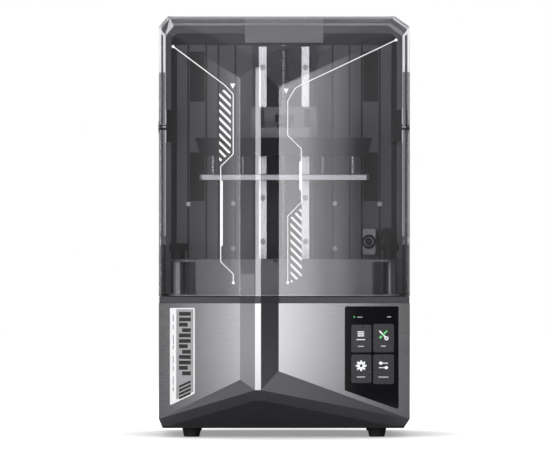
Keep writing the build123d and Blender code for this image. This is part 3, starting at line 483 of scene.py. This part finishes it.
right_trace = [(145.0, 516.2), (65.8, 478.5), (22.7, 458.3), (14.0, 453.2), (4.4, 437.0), (4.4, 392.2),
               (22.0, 375.0), (22.0, 305.5), (4.4, 287.7), (4.4, 201.3)]
right_art = line(right_trace, line_width) + spots(right_trace)
right_art += [[(19.2, 322.5), (22.8, 319.0), (22.8, 361.0), (19.2, 357.5)]] + arrow_down(2.2, 449.5)
right_art += hatching(8.0, 22.6, 310.0, 11, (22.6, 299.7, 1.0), (8.0, 200.5, 0.6))
artwork("lid_print_right", right_panel, right_art, INK, INK_THICK, print_white, "lid")

# ---------------------------------------------------------------- touch screen picture
glass_face = 0.6 * MM        # the glass stands this far off the panel
MARK_THICK = 0.05 * MM
tile_grey = finish_of("tile_grey", (0.035, 0.036, 0.040), 0.3, scale=300, vary=0.04, depth=0.0)
icon_white = glowing("icon_white", (0.85, 0.86, 0.88), 0.5)
icon_green = glowing("icon_green", (0.12, 0.62, 0.18), 0.5)
label_grey = glowing("label_grey", (0.55, 0.56, 0.58), 0.25)


def on_screen(name, shapes, layer, material):
    """Marks over the touch screen's glass, in layers one ink height apart."""
    lift = glass_face + layer * INK
    artwork(name, right_panel, shapes, lift, MARK_THICK, material, "root")


tiles = [(86.9, 110.8, 112.9, 146.6), (115.4, 110.8, 142.3, 147.6),
         (86.9, 71.0, 112.9, 107.9), (115.4, 69.6, 142.3, 107.9)]
tile_corner = 2.4
tile_shapes = [shape for tile in tiles for shape in bar(*tile, tile_corner)]
on_screen("screen_tiles", tile_shapes, 1, tile_grey)

white_marks = []
# stack of layers for printing
for step in range(3):
    white_marks += bar(95.0, 131.4 + 2.6 * step, 103.4, 132.8 + 2.6 * step)
white_marks += bar(93.6, 126.7, 104.8, 127.9)
# tool: a shank on the slant, with its jaw
white_marks += line([(123.2, 138.8), (131.4, 130.2)], 1.7) + disc(132.6, 128.9, 2.6, 1.1)
# gear: ring with teeth
gear_x, gear_z = 99.6, 93.4
tooth_root, tooth_tip, tooth_width = 4.5, 6.9, 2.3
white_marks += disc(gear_x, gear_z, 4.9, 2.0)
for step in range(8):
    a = math.radians(45 * step)
    ends = [(gear_x + reach * math.cos(a), gear_z + reach * math.sin(a)) for reach in (tooth_root, tooth_tip)]
    white_marks += line(ends, tooth_width)
# two sliders
for track_z, knob_x in ((96.7, 125.2), (90.8, 132.2)):
    white_marks += bar(122.6, track_z - 0.5, 134.6, track_z + 0.5) + disc(knob_x, track_z, 2.1)
on_screen("screen_icons", white_marks, 2, icon_white)

# the tool's other shank, and the lamp of the status line
green_marks = line([(133.4, 138.9), (127.4, 132.9)], 2.0) + line([(126.2, 131.7), (123.6, 129.1)], 2.6)
green_marks += disc(90.7, 156.6, 0.95)
on_screen("screen_accents", green_marks, 3, icon_green)

# short bars stand where words would be
labels = []
for x, z, length in ((99.4, 118.6, 8.0), (128.6, 118.8, 7.0), (99.4, 78.8, 11.0), (128.6, 78.6, 13.0)):
    labels += bar(x - length / 2, z - 0.7, x + length / 2, z + 0.7, 0.6)
labels += bar(94.6, 155.9, 101.4, 156.9, 0.4) + bar(133.2, 156.2, 138.4, 157.2, 0.4)
on_screen("screen_labels", labels, 2, label_grey)

# ---------------------------------------------------------------- badge print
badge_face = 0.3 * MM        # the badge plate stands this far off the panel
badge_low, badge_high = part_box("badge_plate")
badge_black = finish_of("badge_black", BLACK_INK_AND_GROOVE_SHADE, 0.3, scale=500, vary=0.05, depth=0.0)
badge_grey = finish_of("badge_grey", (0.42, 0.42, 0.43), 0.36, 0.4, scale=500, vary=0.05, depth=0.0)
left_x, right_x, badge_top = badge_low.x / MM, badge_high.x / MM, badge_high.z / MM
foot_left = badge_low.z / MM
foot_rise = 15.5             # the badge's lower edge rises this much to the right


def on_badge(name, shapes, lift, material):
    """Marks over the badge plate."""
    artwork(name, left_panel, shapes, badge_face + lift, MARK_THICK, material, "root")


def badge_foot(x):
    """Height of the badge's slanted lower edge."""
    return foot_left + foot_rise * (x - left_x) / (right_x - left_x)


# grey field beside a white strip
strip_x, field_x = left_x + 8.2, right_x - 1.8
field_top = badge_top - 1.6
field = [(strip_x, badge_foot(strip_x) + 2.8), (field_x, badge_foot(field_x) + 2.4), (field_x, field_top),
         (strip_x, field_top)]
on_badge("badge_field", [field], 0.0, badge_grey)

# plain bars of differing length stand where a name would be, with four slanted ones below
blocks = []
block_left, block_right = strip_x + 3.6, field_x - 3.4
bar_tall, bar_pair = 5.0, 14.0
for step, cut in enumerate((0.0, 4.0, 0.0, 4.0, 0.0, 4.0)):
    z = 163.2 - bar_pair * step
    blocks += bar(block_left + cut, z - 7.2 - bar_tall, block_right, z - 7.2)
    blocks += bar(block_left, z - bar_tall, block_right - cut, z)
slant_rise, slant_tall = 7.2, 3.0
for step in range(4):
    z = 74.6 - 5.0 * step
    low = z - slant_rise
    blocks.append([(block_left, low - slant_tall), (block_right, z - slant_tall), (block_right, z),
                   (block_left, low)])
on_badge("badge_blocks", blocks, 0.05 * MM, badge_black)

# short upright ticks on the white strip stand where a slogan would be
ticks = []
for step, length in enumerate((9, 6, 12, 5, 10, 7, 11, 6)):
    z = 160.0 - 13.4 * step
    ticks += bar(left_x + 3.9, z - length, left_x + 4.7, z)
on_badge("badge_ticks", ticks, 0.02 * MM, badge_black)


# ---------------------------------------------------------------- turned and coiled pieces
def surface(name, rings, closed, material, smooth=True):
    """Object from rings of points joined in order. A closed one joins its last ring to its first."""
    mesh = bpy.data.meshes.new(name)
    build = bmesh.new()
    loops = [[build.verts.new(point) for point in ring] for ring in rings]
    pairs = list(zip(loops, loops[1:] + loops[:1])) if closed else list(zip(loops, loops[1:]))
    for a, b in pairs:
        for i in range(len(a)):
            nxt = (i + 1) % len(a)
            build.faces.new((a[i], a[nxt], b[nxt], b[i]))
    if not closed:
        build.faces.new(loops[0][::-1])
        build.faces.new(loops[-1])
    bmesh.ops.recalc_face_normals(build, faces=build.faces)
    build.to_mesh(mesh)
    build.free()
    mesh.materials.append(material)
    for face in mesh.polygons:
        face.use_smooth = smooth
    made = bpy.data.objects.new(name, mesh)
    bpy.context.scene.collection.objects.link(made)
    return made


def circle(centre, radius, count, height=0.0):
    """Points of a level circle."""
    return [Vector((centre.x + radius * math.cos(2 * math.pi * i / count),
                    centre.y + radius * math.sin(2 * math.pi * i / count), height)) for i in range(count)]


# lead screw: one-start thread of 4 mm lead, with its coupling and the motor shaft
screw_low, screw_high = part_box("lead_screw")
screw_axis = (screw_low + screw_high) / 2
crest, root = 4.0 * MM, 3.15 * MM
lead = 4.0 * MM
coupling_low, coupling_high = screw_low.z + 18 * MM, screw_low.z + 41.5 * MM
around, per_turn = 20, 10
flank, groove_share = 4.8, 0.7        # steepness of the flanks, and how wide the groove's floor is
rings = []
count = int((screw_high.z - coupling_high) / lead * per_turn)
for step in range(count + 1):
    z = coupling_high + (screw_high.z - coupling_high) * step / count
    ring = []
    for i in range(around):
        phase = (z / lead - i / around) % 1.0
        rise = max(0.0, min(1.0, flank * abs(phase - 0.5) - groove_share))
        radius = root + (crest - root) * rise
        angle = 2 * math.pi * i / around
        x = screw_axis.x + radius * math.cos(angle)
        y = screw_axis.y + radius * math.sin(angle)
        ring.append(Vector((x, y, z)))
    rings.append(ring)
thread = surface("screw_thread", rings, False, screw_steel, smooth=False)
coupling_radius = (screw_high.x - screw_low.x) / 2
steps = [(screw_low.z, 2.1), (screw_low.z + 0.4 * MM, 2.5), (coupling_low, 2.5), (coupling_low, 6.4),
         (coupling_low + 0.6 * MM, 7.0), (coupling_low + 9 * MM, 7.0), (coupling_low + 9.3 * MM, 6.2),
         (coupling_low + 11 * MM, 6.2), (coupling_low + 11.3 * MM, 7.0), (coupling_high - 0.6 * MM, 7.0),
         (coupling_high, 6.4)]
coupling = surface("screw_coupling", [circle(screw_axis, r / 7.0 * coupling_radius, 36, z) for z, r in steps],
                   False, aluminium, smooth=False)
for piece in (thread, coupling):
    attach(piece, "screw")
    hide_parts("lead_screw")


# plate springs
def coil(name, x, y, z0, z1, radius, wire, turns):
    """Compression spring whose turns lie closer together at its ends and its middle."""
    rings = []
    steps, sides = int(turns * 20), 8
    for step in range(steps + 1):
        share = step / steps
        eased = share - 0.055 * math.sin(4 * math.pi * share)
        angle = 2 * math.pi * turns * share
        centre = Vector((x + radius * math.cos(angle), y + radius * math.sin(angle),
                         z0 + wire + (z1 - z0 - 2 * wire) * eased))
        outward = Vector((math.cos(angle), math.sin(angle), 0))
        rings.append([centre + outward * (wire * math.cos(2 * math.pi * i / sides))
                      + Vector((0, 0, wire * math.sin(2 * math.pi * i / sides))) for i in range(sides)])
    return surface(name, rings, False, spring_steel)


spring_steel = ground_steel("spring_steel", (0.9, 0.9, 0.9), 0.22, (1, 1, 1))
spring_low, spring_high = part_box("plate_springs")
spring_turns = 10
outer = 3.5 * MM
wire = 0.55 * MM
spring_rows = ((spring_low.y + outer, (-93.0, 90.0)), (spring_high.y - outer, (-54.0, 51.5)))
for y, places in spring_rows:
    for x in places:
        spring = coil(f"spring_{int(abs(x))}", x * MM, y, spring_low.z, spring_high.z, outer - wire, wire,
                      spring_turns)
        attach(spring, "carriage")
        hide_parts("plate_springs")
        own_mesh(spring)

# ---------------------------------------------------------------- chamber camera lens
lens_low, lens_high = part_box("camera_lens")
camera_turn = math.radians(14)
camera_out = Vector((-math.sin(camera_turn), -math.cos(camera_turn), 0))
camera_side = Vector((math.cos(camera_turn), -math.sin(camera_turn), 0))
camera_centre = Vector((115.2 * MM, 78 * MM, (lens_low.z + lens_high.z) / 2))


def lens_ring(reach, radius, count=32):
    """Circle about the camera's axis at a distance along it."""
    return [camera_centre + camera_out * reach
            + camera_side * (radius * math.cos(2 * math.pi * i / count))
            + Vector((0, 0, radius * math.sin(2 * math.pi * i / count))) for i in range(count)]


lens_glass = finish_of("lens_glass", (0.006, 0.008, 0.016), 0.06, rough_vary=0.02, scale=300, depth=0.0,
                       Coat_Weight=1.0, Coat_Roughness=0.03)
dome = [lens_ring(8 * MM, 4.1 * MM)]
for step in range(1, 7):
    lean = math.radians(90 * step / 6.4)
    dome.append(lens_ring(8.05 * MM + 2.2 * MM * math.sin(lean), 4.05 * MM * math.cos(lean)))
lens_dome = surface("lens_dome", dome, False, lens_glass)
lens_trim = surface("lens_trim", [lens_ring(10.95 * MM, 5.2 * MM), lens_ring(10.95 * MM, 6.35 * MM),
                                  lens_ring(11.1 * MM, 6.3 * MM), lens_ring(11.1 * MM, 5.25 * MM)],
                    True, aluminium)
for piece in (lens_dome, lens_trim):
    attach(piece, "root")


# ---------------------------------------------------------------- studio
def flat_material(name, build):
    """Material whose surface shader is made by a function of its node tree."""
    made = bpy.data.materials.new(name)
    made.use_nodes = True
    made.node_tree.nodes.clear()
    out = add(made.node_tree, "ShaderNodeOutputMaterial")
    made.node_tree.links.new(build(made.node_tree), out.inputs["Surface"])
    return made


def board(name, centre, facing, width, tall, material):
    """Flat studio panel that faces a point and isn't seen by the camera."""
    mesh = bpy.data.meshes.new(name)
    w, t = width / 2, tall / 2
    mesh.from_pydata([(-w, -t, 0), (w, -t, 0), (w, t, 0), (-w, t, 0)], [], [(0, 1, 2, 3)])
    panel = bpy.data.objects.new(name, mesh)
    panel.location = centre
    panel.rotation_euler = (Vector(facing) - Vector(centre)).to_track_quat("Z", "Y").to_euler()
    mesh.materials.append(material)
    panel.visible_camera = False
    bpy.context.scene.collection.objects.link(panel)
    return panel


def lit(strength, falloff=None):
    """Builder for an emitter, even or fading along its own X by (position, level) stops."""
    def build(tree):
        light = add(tree, "ShaderNodeEmission", Color=(1, 0.995, 1.0, 1), Strength=strength)
        if falloff:
            place = add(tree, "ShaderNodeTexCoord")
            split = add(tree, "ShaderNodeSeparateXYZ")
            ramp = add(tree, "ShaderNodeValToRGB")
            ramp.color_ramp.interpolation = "EASE"
            stops = ramp.color_ramp.elements
            for spot, level in falloff[1:-1]:
                stops.new(spot).color = (level, level, level, 1)
            stops[0].color = (*[falloff[0][1]] * 3, 1)
            stops[-1].color = (*[falloff[-1][1]] * 3, 1)
            tree.links.new(place.outputs["Generated"], split.inputs["Vector"])
            tree.links.new(split.outputs["X"], ramp.inputs["Fac"])
            tree.links.new(ramp.outputs["Color"], light.inputs["Color"])
        return light.outputs["Emission"]
    return build


# the front softbox fades to both sides, so that each slanted panel reflects its own part of it
softbox_left, softbox_right = -1.05, 0.55
softbox_y = front - 1.45
softbox_z = 0.45
middle = (softbox_left + softbox_right) / 2
span = softbox_right - softbox_left
profile = [(0.0, 0.01), (0.29, 0.02), (0.32, 0.05), (0.345, 0.15), (0.375, 0.55), (0.39, 1.0), (0.76, 0.99),
           (0.80, 0.68), (0.835, 0.28), (0.865, 0.05), (1.0, 0.01)]
# seen from the printer the panel's own X runs the other way
profile = [(1 - spot, level) for spot, level in reversed(profile)]
board("front_softbox", (middle, softbox_y, softbox_z), (middle, 0, softbox_z), span, 1.7,
      flat_material("front_light", lit(3.6, profile)))

# name, name of its material, centre, point that it faces, width, height, strength
even_lights = (
    ("top_softbox", "top_light", (-0.05, -0.86, 1.6), (-0.05, -0.86, 0), 1.8, 0.9, 0.45),
    ("rear_top_softbox", "rear_top_light", (-0.1, 0.75, 1.6), (-0.1, 0.5, 0), 1.6, 0.8, 1.6),
    ("left_softbox", "left_light", (-1.7, -0.2, -0.15), (0, -0.2, 0.0), 1.2, 0.7, 1.2),
    ("left_strip", "strip_light", (-1.3, -1.15, 0.5), (0, 0, 0.4), 0.28, 1.6, 6.0),
    ("right_softbox", "right_light", (1.5, 0.2, 1.35), (0, 0, 0.3), 1.2, 0.7, 1.6),
    ("rear_softbox", "rear_light", (0.2, 1.9, 1.0), (0, 0, 0.3), 1.8, 1.0, 1.4),
)
for name, light_name, centre, facing, width, tall, strength in even_lights:
    board(name, centre, facing, width, tall, flat_material(light_name, lit(strength)))


def ease(tree, source, start, end, low=0.0, high=1.0):
    """Smooth step from a low to a high level between two values of a source."""
    step = add(tree, "ShaderNodeMapRange", interpolation_type="SMOOTHSTEP")
    step.inputs["From Min"].default_value = start
    step.inputs["From Max"].default_value = end
    step.inputs["To Min"].default_value = low
    step.inputs["To Max"].default_value = high
    tree.links.new(source, step.inputs["Value"])
    return step.outputs["Result"]


def greater(tree, a, b):
    """The greater of two values."""
    pick = add(tree, "ShaderNodeMath", operation="MAXIMUM")
    tree.links.new(a, pick.inputs[0])
    tree.links.new(b, pick.inputs[1])
    return pick.outputs["Value"]


def floor_surface(tree):
    """Pale floor with a soft shadow round the object, partly rendered and partly painted as a weaker glow
    close to it. Reflections and bounced light meet another one.

    That other floor is mid-grey in front, so that the lower panels stay dark, darker still at the front
    right for the ridge's right side, and pale at the left and behind.
    """
    place = add(tree, "ShaderNodeTexCoord")
    split = add(tree, "ShaderNodeSeparateXYZ")
    tree.links.new(place.outputs["Object"], split.inputs["Vector"])

    # level of the unseen floor, as a share along the ramp: 0 dark, front_share mid-grey, 1 pale
    front_share = 0.3
    left = ease(tree, split.outputs["X"], -0.6, -1.4)
    behind = ease(tree, split.outputs["Y"], 0.7, 1.5)
    not_right = ease(tree, split.outputs["X"], 1.1, 0.4, high=front_share)
    shade = add(tree, "ShaderNodeValToRGB")
    shade.color_ramp.elements[0].color = (0.12, 0.12, 0.125, 1)
    shade.color_ramp.elements[1].color = (0.85, 0.85, 0.86, 1)
    shade.color_ramp.elements.new(front_share).color = (0.38, 0.38, 0.39, 1)
    tree.links.new(greater(tree, greater(tree, left, not_right), behind), shade.inputs["Fac"])
    unseen = add(tree, "ShaderNodeBsdfDiffuse")
    tree.links.new(shade.outputs["Color"], unseen.inputs["Color"])

    # the seen floor glows up to white, less so close to the object: a painted shadow pool round it
    away = add(tree, "ShaderNodeVectorMath", operation="LENGTH")
    tree.links.new(place.outputs["Object"], away.inputs[0])
    lift = add(tree, "ShaderNodeEmission", Color=(1, 1, 1, 1))
    tree.links.new(ease(tree, away.outputs["Value"], 0.14, 0.30, 0.3, 0.8), lift.inputs["Strength"])
    pale = add(tree, "ShaderNodeBsdfDiffuse", Color=(0.86, 0.86, 0.87, 1))
    seen = add(tree, "ShaderNodeAddShader")
    tree.links.new(pale.outputs["BSDF"], seen.inputs[0])
    tree.links.new(lift.outputs["Emission"], seen.inputs[1])

    path = add(tree, "ShaderNodeLightPath")
    mixed = add(tree, "ShaderNodeMixShader")
    tree.links.new(path.outputs["Is Camera Ray"], mixed.inputs["Fac"])
    tree.links.new(unseen.outputs["BSDF"], mixed.inputs[1])
    tree.links.new(seen.outputs["Shader"], mixed.inputs[2])
    return mixed.outputs["Shader"]


floor_size = 14
floor = board("floor", (0, 0, 0), (0, 0, 1), floor_size, floor_size,
              flat_material("floor_pale", floor_surface))
floor.visible_camera = True


def world():
    """White behind the object, and a gradient that darkens to the right for everything else."""
    made = bpy.data.worlds.new("studio")
    bpy.context.scene.world = made
    made.use_nodes = True
    tree = made.node_tree
    tree.nodes.clear()
    place = add(tree, "ShaderNodeTexCoord")
    split = add(tree, "ShaderNodeSeparateXYZ")
    ramp = add(tree, "ShaderNodeValToRGB")
    stops = ramp.color_ramp.elements
    stops[0].position, stops[0].color = 0.0, (0.42, 0.42, 0.45, 1)
    stops[1].position, stops[1].color = 1.0, (0.05, 0.05, 0.055, 1)
    stops.new(0.45).color = (0.30, 0.30, 0.32, 1)
    stops.new(0.8).color = (0.12, 0.12, 0.13, 1)
    shift = add(tree, "ShaderNodeMapRange")
    shift.inputs["From Min"].default_value = -1
    shift.inputs["From Max"].default_value = 1
    ambient = add(tree, "ShaderNodeBackground", Strength=1.0)
    white = add(tree, "ShaderNodeBackground", Color=(1, 1, 1, 1), Strength=1.0)
    path = add(tree, "ShaderNodeLightPath")
    mixed = add(tree, "ShaderNodeMixShader")
    out = add(tree, "ShaderNodeOutputWorld")
    tree.links.new(place.outputs["Generated"], split.inputs["Vector"])
    tree.links.new(split.outputs["X"], shift.inputs["Value"])
    tree.links.new(shift.outputs["Result"], ramp.inputs["Fac"])
    tree.links.new(ramp.outputs["Color"], ambient.inputs["Color"])
    tree.links.new(path.outputs["Is Camera Ray"], mixed.inputs["Fac"])
    tree.links.new(ambient.outputs["Background"], mixed.inputs[1])
    tree.links.new(white.outputs["Background"], mixed.inputs[2])
    tree.links.new(mixed.outputs["Shader"], out.inputs["Surface"])


world()
bpy.context.scene.view_settings.view_transform = "Standard"

# straight front view from far away: the pictured width is measured at the plane of the front corners
camera_distance = 8.0
picture_width = 0.7142
camera_x, camera_z = -0.0121, 0.276
camera_data = bpy.data.cameras.new("camera")
camera_data.sensor_width = 36
camera_data.lens = camera_data.sensor_width * (camera_distance + corner_y) / picture_width
camera_data.clip_end = 50
camera = bpy.data.objects.new("camera", camera_data)
camera.location = (camera_x, -camera_distance, camera_z)
camera.rotation_euler = (math.radians(90), 0, 0)
bpy.context.scene.collection.objects.link(camera)
bpy.context.scene.camera = camera
